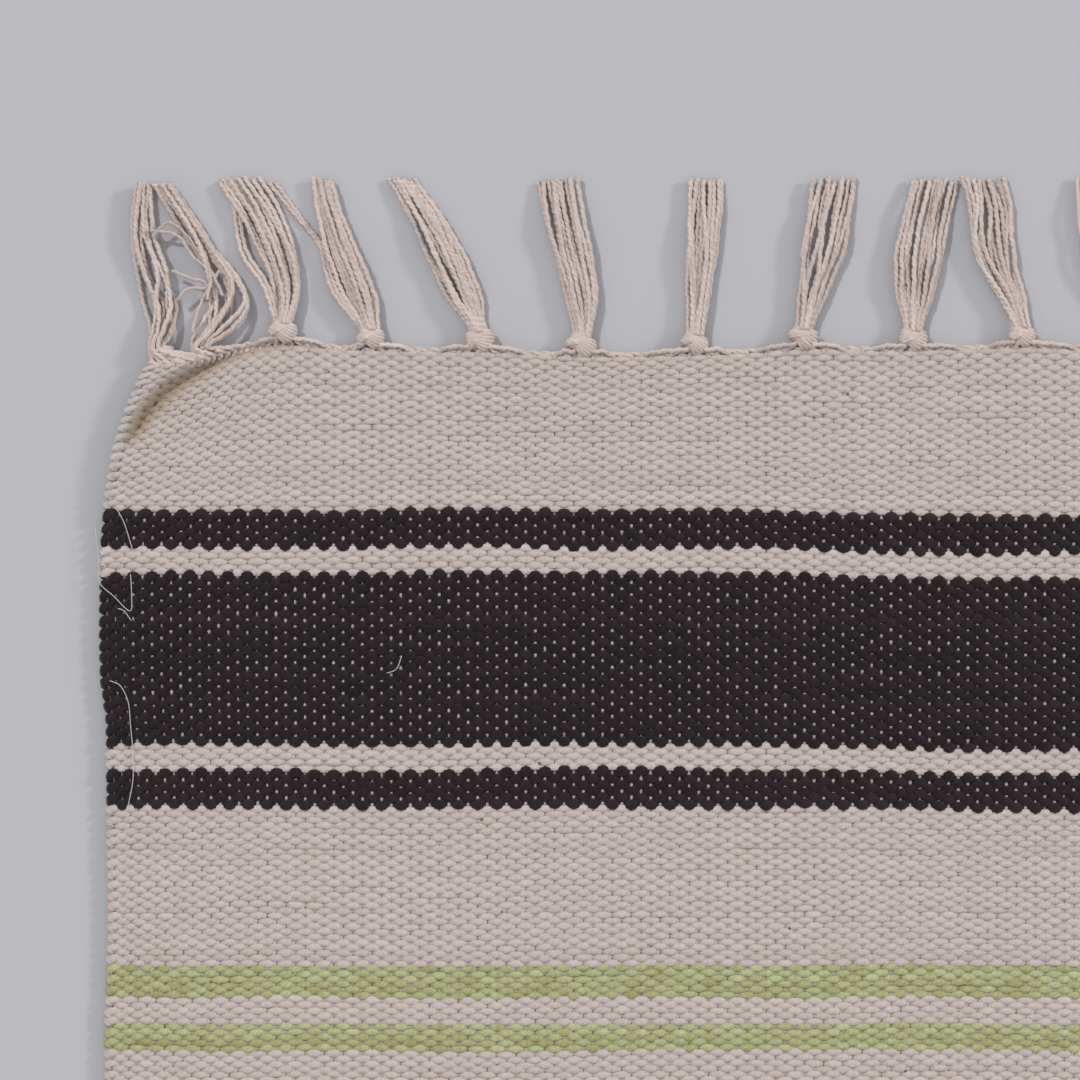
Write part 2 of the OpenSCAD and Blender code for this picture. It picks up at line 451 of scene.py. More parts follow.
def yarn_material(name, dark, light, fleck=None, twist=1.2, contrast=1.0, painted_shade=None):
    """Matt plied cotton: fibres along the yarn, tone from float to float, ply twist in bump.
    twist is the length of one turn of the plies, in mm."""
    material = bpy.data.materials.new(name)
    material.use_nodes = True
    tree = material.node_tree
    link = tree.links.new
    shader = tree.nodes["Principled BSDF"]
    uv = add_node(tree, "ShaderNodeUVMap", uv_map="yarn").outputs[0]
    split = tree.nodes.new("ShaderNodeSeparateXYZ")
    link(uv, split.inputs[0])
    along, around = split.outputs[0], split.outputs[1]
    place = tree.nodes.new("ShaderNodeNewGeometry").outputs["Position"]

    # Fibres: noise stretched along the yarn, slanted by the twist
    slant = maths(tree, "MULTIPLY_ADD", around, 9.0, maths(tree, "MULTIPLY", along, 2.2))
    fibre_place = tree.nodes.new("ShaderNodeCombineXYZ")
    link(maths(tree, "MULTIPLY", along, 0.7), fibre_place.inputs[0])
    link(slant, fibre_place.inputs[1])
    fibres = add_node(tree, "ShaderNodeTexNoise", Scale=1.6, Detail=3.0, Roughness=0.6)
    link(fibre_place.outputs[0], fibres.inputs["Vector"])
    # Uneven dye and spinning from place to place
    patches = add_node(tree, "ShaderNodeTexNoise", Scale=260.0, Detail=2.0, Roughness=0.5)
    link(place, patches.inputs["Vector"])
    tone = add_node(tree, "ShaderNodeAttribute", attribute_name="tone").outputs["Fac"]
    share = about_middle(tree, fibres, 1.4 * contrast, 0.5)
    share = about_middle(tree, patches, 0.3 * contrast, share)
    share = clamp(tree, maths(tree, "MULTIPLY_ADD", tone, 0.2 * contrast, share))
    colour = mix_colour(tree, share, dark, light)
    if fleck is not None:
        colour = mix_colour(tree, rare_flecks(tree, place), colour, fleck)
    if painted_shade is not None:  # painted shade between the floats, and painted shade along the corner's crease
        low = maths(tree, "MULTIPLY", painted_shade_between_floats(tree, place), PAINTED_SHADE_SHARE)
        colour = mix_colour(tree, low, colour, painted_shade)
        # Painted shade along the corner's crease, where the curled strip shades the groove
        crease = add_node(tree, "ShaderNodeAttribute", attribute_name="crease").outputs["Fac"]
        crease_shade = maths(tree, "MULTIPLY", crease, CREASE_SHADE_SHARE)
        colour = mix_colour(tree, crease_shade, colour, CREASE_SHADE_COLOUR)
    link(colour, shader.inputs["Base Color"])

    # Ply twist and fibre relief
    strokes = maths(tree, "MULTIPLY", along, TURN / twist)
    strokes = maths(tree, "MULTIPLY_ADD", around, TURN * 2, strokes)
    ply = maths(tree, "MULTIPLY", maths(tree, "SINE", strokes), 0.5)
    relief = maths(tree, "ADD", ply, fibres.outputs[0])
    fuzz = add_node(tree, "ShaderNodeTexNoise", Scale=2600.0, Detail=2.0, Roughness=0.65)
    link(place, fuzz.inputs["Vector"])
    relief = maths(tree, "ADD", relief, fuzz.outputs[0])
    bump = add_node(tree, "ShaderNodeBump", Strength=BUMP_STRENGTH, Distance=BUMP_M)
    link(relief, bump.inputs["Height"])
    link(bump.outputs[0], shader.inputs["Normal"])
    rough = maths(tree, "MULTIPLY_ADD", fibres.outputs[0], 0.18, 0.78)
    link(rough, shader.inputs["Roughness"])
    shader.inputs["Specular IOR Level"].default_value = SPECULAR
    shader.inputs["Sheen Weight"].default_value = SHEEN
    shader.inputs["Sheen Roughness"].default_value = SHEEN_ROUGHNESS
    return material


# The last colour given to cream and green is painted shade, laid low between their floats
cream = yarn_material(
    "cream_cotton",
    srgb(189, 175, 167),
    srgb(211, 200, 194),
    fleck=srgb(126, 102, 88),
    painted_shade=srgb(206, 176, 156),
)
charcoal = yarn_material("charcoal_cotton", srgb(18, 9, 12), srgb(50, 36, 40), contrast=1.3)
green = yarn_material(
    "green_cotton", srgb(154, 145, 90), srgb(194, 201, 158), contrast=1.4, painted_shade=srgb(160, 142, 92)
)
warp_cotton = yarn_material("warp_cotton", srgb(168, 152, 143), srgb(204, 190, 181), twist=1.5)
fringe_cotton = yarn_material(
    "fringe_cotton", srgb(199, 181, 171), srgb(230, 215, 206), twist=1.7, contrast=1.2
)
lint_cotton = yarn_material("lint_cotton", srgb(200, 196, 194), srgb(226, 224, 222))
YARNS = {"cream": 0, "charcoal": 1, "green": 2}  # places in the list below
yarn_materials = [cream, charcoal, green]

# ---------------------------------------------------------------- weft

# Half height of a weft yarn on top of a warp yarn and between two of them, in mm
CROWN_H = {"cream": 0.6, "charcoal": 0.62, "green": 0.6}
SIDE_H = {"cream": 1.66, "charcoal": 1.25, "green": 1.58}
# Its half width at the same places, as shares of its pick pitch
CROWN_W = {"cream": 0.75, "charcoal": 0.82, "green": 0.75}
SIDE_W = {"cream": 0.87, "charcoal": 0.76, "green": 0.8}
OPEN_LEFT = 0.04  # the charcoal floats are this much thinner at the rug's left side
FLOAT_LONG = {"cream": 0.7, "charcoal": 0.55, "green": 0.7}  # smaller makes longer floats
FLOAT_VARIES = {"cream": 0.17, "charcoal": 0.17, "green": 0.15}
SQUARE = {"cream": 0.4, "charcoal": 0.65, "green": 0.5}  # smaller has a flatter top
CROWN_SHARP = 1.2  # larger keeps a float's crown shorter
PROUD = {"cream": 0.0, "charcoal": 0.1, "green": 0.0}  # how far the floats stand out
# Where a charcoal stripe meets a cream one, its thick floats press the cream ones aside
EDGE_SWELL, EDGE_LONG, EDGE_PROUD, SWELL_WIDER = 0.22, 0.36, 0.2, 0.1
PRESSED_LONG, PRESSED_PROUD = 0.9, -0.15
# Rings to each warp yarn and sides to each ring, where the camera looks and elsewhere
CLOSE_RINGS, FAR_RINGS = 4, 2
CLOSE_SIDES, FAR_SIDES = 8, 4
FAR_WIDER = 1.18  # the plainer yarns away from the camera are this much wider on top
SHIFTS, WANDERS, ROLLS = 0.2, 0.22, 0.3  # how far a float strays, in mm and in radians
SPLIT = SELVEDGE_ENDS - 0.5  # where the selvedge starts, in warp yarns


def at_columns(values, index, u):
    """values (pick, warp) read at each pick and at the warp places u, as (pick, ring)."""
    low = np.clip(np.floor(u).astype(int), 0, LAST - 1)
    share = np.clip(u - low, 0, 1)
    rows = values[index]
    return rows[:, low] * (1 - share) + rows[:, low + 1] * share


def weft_sizes(stripe, chosen, inside, lap, top, swell):
    """Half width and half height of the rings. top is 1 on top of a warp yarn, 0 between two."""
    fat = at_columns(float_fat, stripe.index[chosen], inside)
    half_h = SIDE_H[stripe.yarn] + (CROWN_H[stripe.yarn] - SIDE_H[stripe.yarn]) * top
    half_h *= 1 + 0.05 * fat
    crown = np.full(top.shape, CROWN_W[stripe.yarn])
    if stripe.yarn == "charcoal":
        crown -= OPEN_LEFT * smooth((CLOSE_X - column_x[inside.astype(int)]) / (CLOSE_X - LEFT))
    crown *= 1 + FLOAT_VARIES[stripe.yarn] * fat
    if not stripe.close[chosen[0]]:
        crown *= FAR_WIDER
    side = SIDE_W[stripe.yarn]
    half_w = stripe.pitch * (side + (crown - side) * top)
    half_w *= (1 + SWELL_WIDER * np.abs(swell) * top) * (1 + TURN_WIDER * np.sin(lap) ** 2)
    return half_w, half_h


def weft_y(stripe, chosen, inside, lap, swell):
    """Places of the rings along the rug."""
    index = stripe.index[chosen]
    # The neighbouring pick that the yarn turns round to join, 1 or -1 along the rug
    even = (1 - 2 * (index % 2))[:, None]
    partner = np.where(lap[None] < 0, -even, even) * (lap[None] != 0)
    y_turn = partner * stripe.pitch / 2 * (1 - np.cos(lap))[None]
    shift = SHIFTS * at_columns(float_shift, index, inside)
    shift = shift + WANDERS * at_columns(yarn_wander, index, inside)
    return stripe.y[chosen][:, None] + shift + y_turn + EDGE_SWELL * swell


def weft_rings(stripe, chosen, u, sides):
    """Rings of the chosen picks of a stripe at warp places u, with the length along the yarn
    and its tone. Past 0 and LAST the yarn turns round the edge, a quarter turn to each unit."""
    index = stripe.index[chosen]
    inside = np.clip(u, 0, LAST)
    lap = (u - inside) * math.pi / 2
    wave = np.cos(math.pi * (inside[None] + index[:, None])) * np.cos(lap)
    swell, pressed = stripe.meets(chosen)
    half_w, half_h = weft_sizes(stripe, chosen, inside, lap, np.abs(wave) ** CROWN_SHARP, swell)
    long = FLOAT_LONG[stripe.yarn] + (EDGE_LONG - FLOAT_LONG[stripe.yarn]) * np.abs(swell)
    long = long + (PRESSED_LONG - long) * pressed
    over = np.sign(wave) * np.abs(wave) ** long
    proud = PROUD[stripe.yarn] + EDGE_PROUD * np.abs(swell) + PRESSED_PROUD * pressed
    centres = np.empty(over.shape + (3,))
    centres[..., 0] = np.interp(inside, np.arange(WARPS), column_x) + np.sin(lap) * TURN_R
    centres[..., 1] = weft_y(stripe, chosen, inside, lap, swell)
    centres[..., 2] = MID + over * (MID - half_h + proud)
    along = unit(np.gradient(centres, axis=1))
    across = np.zeros_like(centres)
    across[..., 1] = 1
    across = unit(across - (across * along).sum(-1, keepdims=True) * along)
    up = np.cross(along, across)
    roll = ROLLS * at_columns(float_roll, index, inside)[..., None]
    c, s = np.cos(roll), np.sin(roll)
    across, up = across * c + up * s, up * c - across * s
    points = ring_points(centres, across, up, half_w, half_h, oval(sides, SQUARE[stripe.yarn]))
    step = np.linalg.norm(np.diff(centres, axis=1, prepend=centres[:, :1]), axis=-1)
    tone = at_columns(float_tone, index, inside) + pick_tone[index][:, None]
    return points, np.cumsum(step, axis=1), tone


def warp_places(low, high, close):
    """Places along a pick, in warp yarns, closer together where the camera looks."""
    close_to = np.searchsorted(column_x, CLOSE_X) if close else low
    fine = np.arange(low, min(high, close_to), 1 / CLOSE_RINGS)
    coarse = np.arange(max(close_to, low), high, 1 / FAR_RINGS)
    return np.concatenate([fine, coarse, [high]])


def add_weft(tubes, stripe, low, high, slot):
    """The picks of a stripe between two warp places."""
    for close in (True, False):
        chosen = np.flatnonzero(stripe.close == close)
        if len(chosen):
            u = warp_places(low, high, close)
            sides = CLOSE_SIDES if close else FAR_SIDES
            tubes.add(*weft_rings(stripe, chosen, u, sides), slot)


def weave_node(node):
    """The picks of one CAD node, between the selvedges."""
    tubes = TubeMesh()
    mine = [s for s in stripes if s.node == node]
    for stripe in mine:
        add_weft(tubes, stripe, SPLIT, LAST - SPLIT, 0)
    piece = tubes.make(f"{node}_weft", [yarn_materials[YARNS[mine[0].yarn]]])
    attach(piece, "root")
    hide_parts(node)
    return piece


def weave_selvedge(node, low, high):
    """Where every pick turns round the outer warp yarns, in the yarn of each stripe."""
    tubes = TubeMesh()
    for stripe in stripes:
        add_weft(tubes, stripe, low, high, YARNS[stripe.yarn])
    piece = tubes.make(f"{node}_turns", yarn_materials)
    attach(piece, "root")
    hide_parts(node)
    return piece


weft_nodes = list(dict.fromkeys(s.node for s in stripes))
weft_pieces = [weave_node(node) for node in weft_nodes]
weft_pieces.append(weave_selvedge("selvedge_left", -1.0, SPLIT))
weft_pieces.append(weave_selvedge("selvedge_right", LAST - SPLIT, LAST + 1.0))

# ---------------------------------------------------------------- warp


RISE_VARIES = 0.75  # some warp yarns are pressed nearly flat between two floats
EDGE_RISE = 0.4  # the weft closes over the edge yarns


def warp_tubes():
    """Every warp yarn from end to end, crimped by the weft where the camera looks closely."""
    tubes = TubeMesh()
    close_picks = np.flatnonzero(pick_y > CLOSE_Y)
    fine_k = np.arange(-0.5, close_picks[-1] + 0.6, 0.5)
    pick_pitch = pick_y[0] - pick_y[1]
    pressed = np.concatenate([np.full(len(s.y), WARP_R[s.yarn]) for s in stripes])
    for close in (True, False):
        columns = np.flatnonzero((column_x < CLOSE_X) == close)
        if close:
            y_fine = np.interp(fine_k, np.arange(PICKS), pick_y)
            y_fine[fine_k < 0] = pick_y[0] + pick_pitch / 2
            rise = -WARP_CRIMP * np.cos(math.pi * (fine_k[None] + columns[:, None]))
            rise *= 1 - RISE_VARIES * random.random(rise.shape) ** 2
            rise[:SELVEDGE_ENDS] *= EDGE_RISE
            far_y = np.linspace(y_fine[-1], -FELL, 60)[1:]
            y = np.concatenate([y_fine, far_y])
            rise = np.concatenate([rise, np.zeros((len(columns), len(far_y)))], axis=1)
        else:
            head, foot = np.linspace(FELL, FELL - 60, 12), np.linspace(60 - FELL, -FELL, 12)
            y = np.concatenate([head, np.linspace(FELL - 80, 80 - FELL, 60), foot])
            rise = np.zeros((len(columns), len(y)))
        centres = np.empty((len(columns), len(y), 3))
        centres[..., 0] = column_x[columns][:, None]
        centres[..., 1] = y[None]
        centres[..., 2] = MID + rise
        along = unit(np.gradient(centres, axis=1))
        across = np.zeros_like(centres)
        across[..., 0] = 1
        up = np.cross(across, along)
        size = np.full(rise.shape, WARP_R_FAR)
        if close:
            size[:, : len(y_fine)] = pressed[np.clip(np.round(fine_k), 0, PICKS - 1).astype(int)]
        points = ring_points(centres, across, -up, size * 1.1, size, oval(6))
        length = np.broadcast_to((FELL - y)[None], rise.shape)
        tone = np.broadcast_to(random.normal(0, 0.4, (len(columns), 1)), rise.shape)
        tubes.add(points, length, tone)
    piece = tubes.make("warp_layer", [warp_cotton])
    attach(piece, "root")
    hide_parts("warp_yarns")
    return piece


warp_layer = warp_tubes()

# ---------------------------------------------------------------- fringe

KNOTS = 20
KNOT_INSET = 18.0
KNOT_PITCH = (RIGHT - LEFT - 2 * KNOT_INSET) / (KNOTS - 1)
CLOSE_KNOTS = 9  # the first knots of the head end are the ones seen closely
# Beyond the last pick: the middle of a knot, and where its tassel leaves it
KNOT_BEYOND, KNOT_EXIT = 3.7, 5.4
KNOT_Z, KNOT_RISE = 2.5, 2.35  # the height of its middle, and how far its windings rise
WINDINGS, LOWER_WINDINGS = 7, 4
KNOT_RINGS, TASSEL_RINGS = 9, 11
STRAND_R, WINDING_R, CORD_R, LINT_R = 0.72, 0.66, 0.55, 0.13
CRIMP_LENGTH, CRIMP_SWAY = 3.8, 0.09  # the waves that the weave leaves in a strand
CLOSE_STEP, FAR_STEP = 0.4, 1.3  # between the rings of a strand
PLY_TURN = 3.4  # length of one turn of the two plies

# How each tassel of the head end lies, from the left: its sideways offset a quarter of the way,
# halfway, three quarters and at its tip, then its half width near the knot, halfway and at the tip
LIE = {
    2: (1.4, -1.6, -6.2, -12.8, 4.0, 5.0, 5.4),
    3: (-3.2, -7.4, -11.2, -13.7, 4.4, 4.4, 3.4),
    4: (-4.8, -9.2, -14.6, -21.4, 5.0, 5.2, 4.2),
    5: (-0.2, -2.4, -5.0, -6.6, 4.6, 5.1, 5.2),
    6: (1.2, 1.8, 2.4, 2.6, 3.2, 4.3, 4.2),
    7: (2.4, 5.0, 6.6, 8.6, 3.8, 5.8, 6.2),
    8: (0.6, 1.4, 3.4, 6.2, 5.0, 7.0, 6.3),
    9: (-3.6, -8.6, -8.2, -10.6, 4.4, 6.2, 6.0),
}
# Where each visible knot really sits, against even spacing
KNOT_DRIFT = {2: 3.2, 3: -2.5, 4: -2.5, 5: -4.1, 6: -2.8, 7: -2.8, 8: -2.6, 9: -2.5}


def turned(points, end):
    """Points of the head end turned round for the foot end, or back."""
    points = np.array(points, float)
    if end < 0:
        points[..., :2] *= -1
    return points


class Fell:
    """The last pick's line as it really lies, seen from its own end."""

    def __init__(self, end):
        self.end = end
        self.warp_x = np.sort(end * column_x)
        flat = np.stack([self.warp_x, np.full(WARPS, FELL), np.full(WARPS, MID)], -1)
        self.line = turned(settle(turned(flat, end)), end)

    def y(self, x):
        return float(np.interp(x, self.line[:, 0], self.line[:, 1]))

    def z(self, x):
        return float(np.interp(x, self.line[:, 0], self.line[:, 2])) - MID

    def warp(self, column, beyond, z):
        """A point on a warp yarn at the last pick."""
        flat = np.array([[self.warp_x[column], FELL + beyond, z]])
        return turned(settle(turned(flat, self.end)), self.end)[0]


def knot_x(i, end):
    even = LEFT + KNOT_INSET + KNOT_PITCH * (i - 1)
    return even + (KNOT_DRIFT.get(i, 0) if end > 0 else 0)


def curve(stops, count):
    """A smooth line through the stops (stop, 3), at count even steps."""
    stops = np.asarray(stops, float)
    padded = np.concatenate([[2 * stops[0] - stops[1]], stops, [2 * stops[-1] - stops[-2]]])
    t = np.linspace(0, len(stops) - 1, count)
    i = np.minimum(t.astype(int), len(stops) - 2)
    f = (t - i)[:, None]
    a, b, c, d = (padded[i + k] for k in range(4))
    square, cube = 2 * a - 5 * b + 4 * c - d, 3 * b - a - 3 * c + d
    return 0.5 * (2 * b + (c - a) * f + square * f**2 + cube * f**3)


def even_steps(line, step):
    """A line resampled at even steps of about the given length."""
    length = np.concatenate([[0], np.cumsum(np.linalg.norm(np.diff(line, axis=0), axis=1))])
    places = np.linspace(0, length[-1], max(3, int(length[-1] / step) + 1))
    return np.stack([np.interp(places, length, line[:, k]) for k in range(3)], axis=-1), places


def add_strand(tubes, stops, close, radius=STRAND_R, plied=True):
    """A yarn along the stops. The close ones show their two plies."""
    line = curve(stops, 8 * len(stops))
    line, places = even_steps(line, CLOSE_STEP if close else FAR_STEP)
    along = unit(np.gradient(line, axis=0))
    across = unit(np.cross(along, np.array([0.02, 0.03, 1.0])))
    up = np.cross(across, along)
    if close and plied:
        crimp = np.sin(TURN * (places / CRIMP_LENGTH + random.random()))
        line = line + across * (CRIMP_SWAY * crimp * smooth(places / 6))[:, None]
    size = np.full(len(line), radius)
    if close and plied:
        spin = TURN * places / PLY_TURN
        points = ring_points(line, across, up, size, size, TWO_PLY, spin)
    else:
        points = ring_points(line, across, up, size * 0.9, size * 0.9, oval(6 if close else 5))
    tone = np.full(len(line), random.normal(0, 0.5))
    tubes.add(points[None], places[None], tone[None])


def random_wave(share, waves):
    """A number of sine waves along a strand, from a random start."""
    return np.sin(TURN * (share * waves + random.random()))


def tassel_stops(i, fell, lie, count):
    """The strands of a tassel from its knot to its tip."""
    x0 = knot_x(i, fell.end)
    exit_y = fell.y(x0) + KNOT_EXIT
    share = np.linspace(0, 1, TASSEL_RINGS)
    middle = np.interp(share, np.linspace(0, 1, 5), (0.0, *lie[:4]))
    middle = curve(np.stack([share[::2], middle[::2], 0 * share[::2]], -1), TASSEL_RINGS)[:, 1]
    half = np.interp(share, (0, 0.08, 0.22, 0.5, 1), (2.2, 2.7, *lie[4:])) - STRAND_R / 2
    arch = random.uniform(0.7, 1.3)
    strands = []
    order = random.permutation(count)
    for j in range(count):
        rank = ((j + 0.5) / count * 2 - 1) * 1.08
        strays = random.choice((0.04, 0.06, 0.1, 0.2))
        drift = strays * random_wave(share, random.uniform(0.4, 1.1))
        ripple = 0.13 * random_wave(share, random.uniform(2.5, 4.5))
        x = x0 + middle + half * np.clip(rank + drift, -1.25, 1.25) + ripple * smooth(share * 6)
        level = 0.75 + 0.85 * (order[j] % 2) + 0.3 * random_wave(share, 2.2)
        dome = 1.3 * (1 - rank**2) * (1 - share) + 1.1 * arch * np.sin(math.pi * share)
        z = level + dome + 1.6 * np.exp(-share / 0.09)
        y = exit_y + (FRINGE_TIP - exit_y + random.uniform(-1.4, 0)) * share
        strands.append(turned(np.stack([x, y, np.clip(z, 0.7, 5.6)], -1), fell.end))
    return strands


def random_lie():
    """How a tassel that isn't seen closely lies, in the terms of LIE."""
    lean, bow = random.normal(0, 7), random.normal(0, 2.5)
    offsets = [lean * q + bow * math.sin(math.pi * q) for q in (0.25, 0.5, 0.75, 1.0)]
    halves = [random.uniform(*limits) for limits in ((3.6, 5.0), (4.4, 6.2), (4.0, 6.2))]
    return (*offsets, *halves)


def gather_stops(i, fell, column):
    """A warp end from the cloth, sideways along the last pick and up into the knot."""
    x0 = knot_x(i, fell.end)
    start = fell.warp(column, -1.6, MID)
    away = start[0] - x0
    side = math.copysign(1.0, away)
    near = min(abs(away), 3.6) * side
    level = 1.5 + 1.05 * (column % 3)
    stops = [start, fell.warp(column, 0.1, MID + 0.8)]
    if abs(away) > 4.5:
        lane = -0.2 + 0.5 * (column % 3) + 0.8 * (1 - 2 * abs(away) / KNOT_PITCH)
        for x, rise in ((start[0] - side * 1.8, 0), (x0 + (near + away) * 0.45, 0.5)):
            stops.append((x, fell.y(x) + lane + rise, level + fell.z(x)))
    stops.append((x0 + near * 0.8, fell.y(x0) + 1.5, level + 0.2 + fell.z(x0)))
    stops.append((x0 + near * 0.3, fell.y(x0) + 2.8, 1.6 + 0.4 * level))
    return turned(stops, fell.end)


def add_knot(tubes, i, fell, close):
    """A round core with strands wound over it, slanting down to the right and fanned a little."""
    x0 = knot_x(i, fell.end)
    middle = np.array([x0, fell.y(x0) + KNOT_BEYOND, KNOT_Z])
    slant = math.radians(random.uniform(-42, -10))
    fan = math.radians(random.uniform(0, 4))
    wide, tall = random.uniform(3.1, 3.7), random.uniform(2.3, 2.7)
    if i in (1, KNOTS):  # the corner's own knot is slack and half hidden by its bundles
        wide, tall, middle[2] = 0.75 * wide, 0.7 * tall, 1.9
    share = np.linspace(-0.97, 0.97, KNOT_RINGS)
    heading = np.array([math.cos(slant), math.sin(slant), 0])
    beside = np.array([-math.sin(slant), math.cos(slant), 0])
    line = middle + heading * (wide * 0.9 * share)[:, None]
    size = np.sqrt(1 - share**2)
    axes = np.tile(beside, (KNOT_RINGS, 1)), np.tile([0.0, 0.0, 1.0], (KNOT_RINGS, 1))
    core = ring_points(line, *axes, size * tall * 0.9, size * 2.2, oval(10))
    # The core's fixed darker tone is painted shade, seen in the gaps between the windings
    tubes.add(turned(core, fell.end)[None], line[None, :, 0], np.full((1, KNOT_RINGS), -0.6))
    wind(tubes, fell, middle, slant, fan, wide, tall, WINDINGS, close)
    low_left = middle + heading * random.uniform(-1.6, -1.0) - beside * 0.6 + [0, 0, 0.15]
    steeper = slant + random.uniform(0.9, 1.4)
    smaller = wide * 0.72, tall * 0.62
    wind(tubes, fell, low_left, steeper, fan, *smaller, LOWER_WINDINGS, close)


def wind(tubes, fell, middle, slant, fan, wide, tall, windings, close):
    """Strands side by side over the top of a knot, thinner towards its two ends."""
    beside = np.array([-math.sin(slant), math.cos(slant), 0])
    for j in range(windings):
        rank = (j - (windings - 1) / 2) / (windings / 2)
        girth = math.sqrt(1 - 0.8 * rank**2)
        heading = slant + fan * (j - windings / 2)
        along = np.array([math.cos(heading), math.sin(heading), 0])
        stops = []
        for angle in np.linspace(-0.2, math.pi + 0.2, 9):
            out = -math.cos(angle) * wide * girth
            rise = math.sin(angle) * KNOT_RISE * girth
            aside = tall * 0.95 * rank + 0.22 * math.sin(2 * angle + 0.4 * j)
            stops.append(middle + along * out + beside * aside + [0, 0, rise])
        add_strand(tubes, turned(stops, fell.end), close, radius=WINDING_R, plied=False)


def add_piece(tubes, name, node):
    piece = tubes.make(name, [fringe_cotton], settled=False)
    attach(piece, "root")
    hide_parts(node)
    return piece


# Strands that leave the middle tassels of the visible corner, across and along from it
LOOSE_STRANDS = (
    ((50.0, 4), (48.4, 9), (45.3, 18.1), (39.2, 27.3), (36.9, 41), (35.3, 46.5)),
    ((50.6, 4), (49.4, 9), (46.3, 18.6), (40.5, 27.8), (38.2, 41), (37.2, 46.5)),
    ((72.6, 5.5), (69.4, 9.5), (64.8, 15.5), (62.4, 21.5), (60.4, 29.4), (53.8, 37.6), (46.6, 46.5)),
    ((73, 5.5), (70.4, 9.5), (66, 15.5), (63.6, 21.5), (61.4, 29), (55, 37.4), (48.4, 46.5)),
    ((97.6, 22), (97.0, 28), (95.4, 33.5), (92.4, 38.7), (89.0, 40.6), (86.6, 38)),
)


def add_loose_strands(tubes, fell):
    for strand in LOOSE_STRANDS:
        z = [1.5 + 1.3 * math.sin(0.9 * k + 0.4) for k in range(len(strand))]
        line = [(LEFT + a, FELL + b, height) for (a, b), height in zip(strand, z)]
        add_strand(tubes, turned(line, fell.end), True)


# The two bundles of the corner tassel, as stops across and along from the corner
CORNER_LEFT = ((16.2, 0.5), (17.0, 6), (16.9, 13), (15.4, 21), (12.2, 32), (12.4, 46))
CORNER_RIGHT = ((28.0, 1.0), (32.0, 6), (35.5, 13), (34.0, 20), (28.0, 30.5), (17.8, 46))
# Strands that cross from one bundle to the other
CORNER_STRAYS = (
    ((15.0, 31), (19.5, 35), (25.0, 31), (31.0, 22), (34.5, 15)),
    ((14.5, 33), (22.0, 31.5), (26.0, 26), (31.0, 21), (30.0, 14)),
    ((22.0, 14), (25.0, 17), (30.0, 17.5), (33.5, 22)),
    ((20.5, 22), (25.0, 20), (30.0, 18), (27.5, 11), (26.0, 5)),
)


def corner_bundle(tubes, fell, stops, columns, half, across_from, close):
    """One bundle, from its warp yarns at the last pick to the tip."""
    for j, column in enumerate(columns):
        rank = (j + 0.5) / len(columns) * 2 - 1
        phase, turns = random.random(), random.uniform(0.8, 1.6)
        line = [fell.warp(column, -1.6, MID), fell.warp(column, 0.2, MID + 0.4)]
        for k, (across, along) in enumerate(stops):
            q = k / (len(stops) - 1)
            spread = half * (0.6 + 0.5 * math.sin(math.pi * min(1, q * 1.2)))
            sway = 0.4 * math.sin(TURN * (q * turns + phase)) * smooth(q * 4)
            x = across_from(across) + spread * float(np.clip(rank + sway, -1.2, 1.2))
            z = 2.2 + 0.8 * (j % 3 - 1) + 0.7 * math.sin(TURN * (q * turns + phase + 0.25))
            line.append((x, FELL + along, min(max(z + 1.2 * (q < 0.3), 0.7), 5.2)))
        add_strand(tubes, turned(line, fell.end), close)


def corner_tassel(tubes, fell, mirrored, close):
    """The two bundles of one corner, and the strands that cross between them."""

    def across_from(across):
        return RIGHT - across if mirrored else LEFT + across

    columns = [WARPS - 1 - c if mirrored else c for c in range(15)]
    corner_bundle(tubes, fell, CORNER_LEFT, columns[:8], 3.9, across_from, close)
    corner_bundle(tubes, fell, CORNER_RIGHT, columns[6:], 4.3, across_from, close)
    for stray in CORNER_STRAYS:
        z = [3.9 + 0.6 * math.sin(k * 2.1) for k in range(len(stray))]
        line = [(across_from(a), FELL + b, height) for (a, b), height in zip(stray, z)]
        add_strand(tubes, turned(line, fell.end), close, radius=0.5)


def make_fringe(end, word):
    """Knots, gathered warp ends and tassels of one end."""
    fell = Fell(end)
    knots, gathers, tassels, corners = TubeMesh(), TubeMesh(), TubeMesh(), TubeMesh()
    knot_places = np.array([knot_x(i, end) for i in range(1, KNOTS + 1)])
    owner = np.abs(fell.warp_x[:, None] - knot_places[None]).argmin(axis=1) + 1
    for i in range(1, KNOTS + 1):
        close = end > 0 and i <= CLOSE_KNOTS
        add_knot(knots, i, fell, close)
        if i in (1, KNOTS):
            continue
        mine = np.flatnonzero(owner == i)
        for column in mine:
            add_strand(gathers, gather_stops(i, fell, column), close)
        lie = LIE[i] if close else random_lie()
        for stops in tassel_stops(i, fell, lie, len(mine)):
            add_strand(tassels, stops, close)
    if end > 0:
        add_loose_strands(tassels, fell)
    corner_tassel(corners, fell, False, end > 0)
    corner_tassel(corners, fell, True, False)
    return [
        add_piece(knots, f"knots_{word}", f"fringe_knots_{word}"),
        add_piece(gathers, f"gathers_{word}", f"warp_gathers_{word}"),
        add_piece(tassels, f"tassels_{word}", f"fringe_tassels_{word}"),
        add_piece(corners, f"corner_tassels_{word}", "corner_tassels"),
    ]


